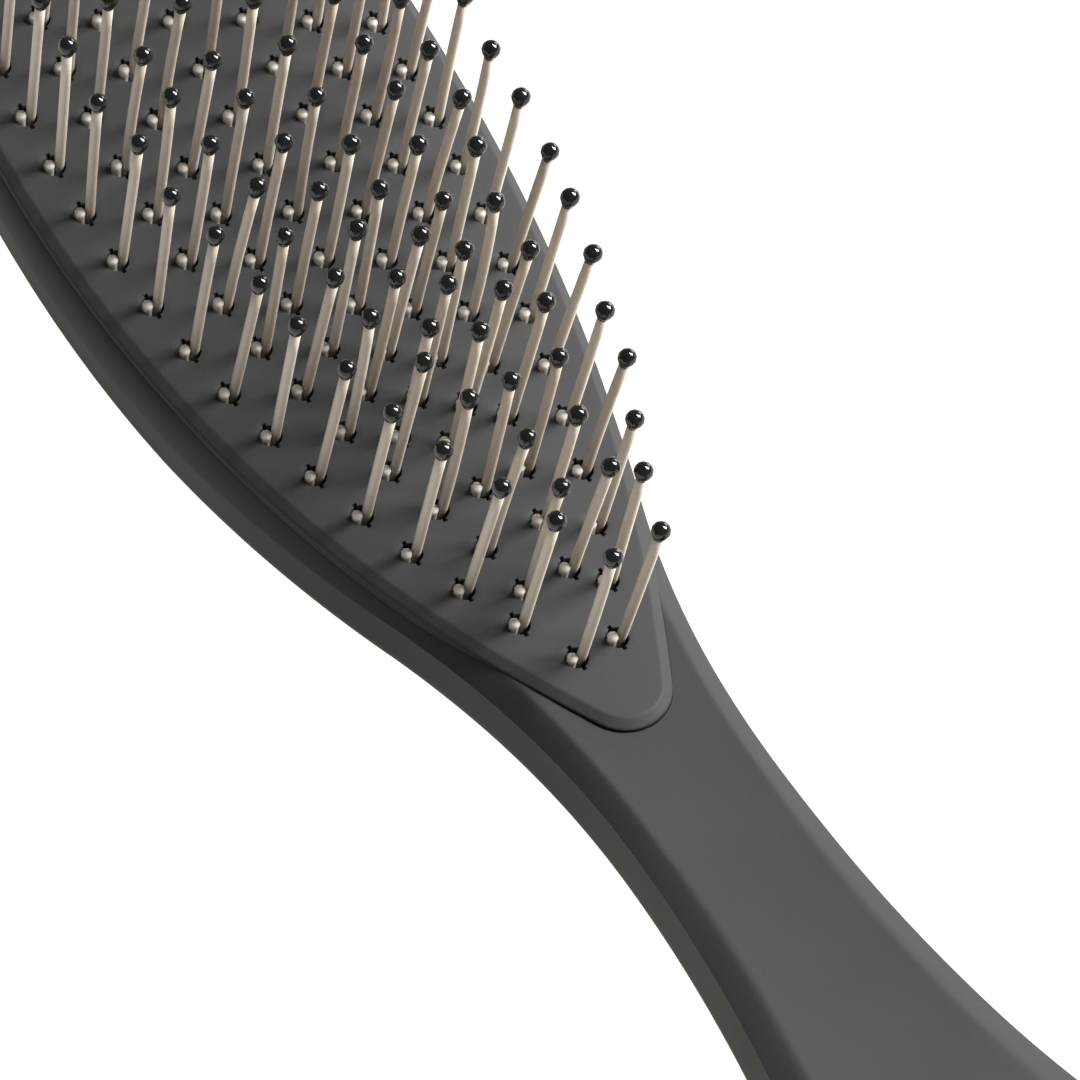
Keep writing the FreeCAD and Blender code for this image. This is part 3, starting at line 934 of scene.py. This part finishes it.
# Third colours are painted shade; the body's is also a painted warm floor reflection
BODY_PLASTIC = moulded("body_plastic", dark=(0.0318, 0.0318, 0.0332),
                       light=(0.0375, 0.0375, 0.0392), painted_shade=(0.0172, 0.0175, 0.0152),
                       rough=0.55, grain=0.25)
PAD_PLASTIC = moulded("pad_plastic", dark=(0.0378, 0.0372, 0.0374),
                      light=(0.0445, 0.0438, 0.0442), painted_shade=(0.016, 0.0158, 0.0155),
                      rough=0.5, grain=0.3)
NYLON = nylon()
RESIN = gloss()
STEEL = steel()

body = body_surface().piece("body_visual", BODY_PLASTIC)
body.data.set_sharp_from_angle(angle=SHARP)
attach(body, "root")
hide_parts("brush_body")
pad = pad_surface().piece("pad_visual", PAD_PLASTIC)
pad.data.set_sharp_from_angle(angle=SHARP)
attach(pad, "root")
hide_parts("bristle_pad")
for number, plan_sites in enumerate(SITE_ROWS, start=1):
    sites = with_height(plan_sites)
    draw = tuft_draws(len(sites))
    row = filament_row("bristles_visual_%02d" % number, sites, draw, NYLON)
    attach(row, "root")
    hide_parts("bristle_row_%02d" % number)
    tips = bead_row("tips_visual_%02d" % number, sites, draw, RESIN)
    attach(tips, "root")
    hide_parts("tip_row_%02d" % number)
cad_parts["tuft_anchors"].data.materials.clear()
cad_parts["tuft_anchors"].data.materials.append(STEEL)

# Floor: white paper that gives off light, just under the flat back so that the two don't flicker
FLOOR_HALF = 3.0
FLOOR_Z = -0.0002
SQUARE = ((-1, -1), (1, -1), (1, 1), (-1, 1))
floor_mesh = bpy.data.meshes.new("floor")
floor_mesh.from_pydata([(x * FLOOR_HALF, y * FLOOR_HALF, FLOOR_Z) for x, y in SQUARE], [],
                       [(0, 1, 2, 3)])
floor = bpy.data.objects.new("floor", floor_mesh)
bpy.context.scene.collection.objects.link(floor)
paper, paper_tree, paper_shader = new_material("paper")
set_inputs(paper_tree, paper_shader, {
    "Base Color": (0.06, 0.06, 0.06, 1),
    "Roughness": 0.9,
    "Emission Color": (1.0, 0.985, 0.9, 1),
    "Emission Strength": 1.12,
})
floor_mesh.materials.append(paper)

world = bpy.data.worlds.new("studio")
world.use_nodes = True
world.node_tree.nodes["Background"].inputs["Color"].default_value = (1.0, 1.0, 1.0, 1)
world.node_tree.nodes["Background"].inputs["Strength"].default_value = 0.2
bpy.context.scene.world = world

# Square soft lights: name, place and side in metres, power in watts
LIGHT_TARGET = Vector((0, 0.02, 0.01))
LIGHTS = [
    ("key", (0.5, -0.1, 0.78), 0.2, 8.5),
    ("overhead", (0.77, -0.3, 0.8), 0.5, 27.0),
    ("side", (0.87, 0.36, 0.2), 0.36, 3.2),
]
for name, place, size, power in LIGHTS:
    data = bpy.data.lights.new(name, "AREA")
    data.shape = "SQUARE"
    data.size = size
    data.energy = power
    light = bpy.data.objects.new(name, data)
    light.location = place
    light.rotation_euler = (LIGHT_TARGET - Vector(place)).to_track_quat("-Z", "Y").to_euler()
    bpy.context.scene.collection.objects.link(light)

# Camera, solved from the tufts: its place before the shift to the origin, counted from the pad's
# front, the directions of its view and of its upper edge, and its focal length in pixels
CAMERA_X, CAMERA_Y, CAMERA_Z = -146.654, -187.294, 368.441
LOOK = Vector((0.33380, 0.45053, -0.82801)).normalized()
CAMERA_UP = Vector((0.41716, 0.71709, 0.55835))
IMAGE_WIDTH = 1080
FOCAL_PIXELS = 4608.53
SENSOR_WIDTH = 36
NEAREST = 0.01
RIGHT = LOOK.cross(CAMERA_UP).normalized()
PLACE = Vector((CAMERA_X, CAMERA_Y - ORIGIN_Y, CAMERA_Z + PAD_FRONT)) * MM
camera = bpy.data.objects.new("camera", bpy.data.cameras.new("camera"))
bpy.context.scene.collection.objects.link(camera)
camera.matrix_world = (Matrix.Translation(PLACE)
                       @ Matrix((RIGHT, RIGHT.cross(LOOK), -LOOK)).transposed().to_4x4())
camera.data.sensor_fit = "HORIZONTAL"
camera.data.sensor_width = SENSOR_WIDTH
camera.data.lens = FOCAL_PIXELS / IMAGE_WIDTH * SENSOR_WIDTH
camera.data.clip_start = NEAREST
bpy.context.scene.camera = camera
bpy.context.scene.view_settings.view_transform = "Standard"
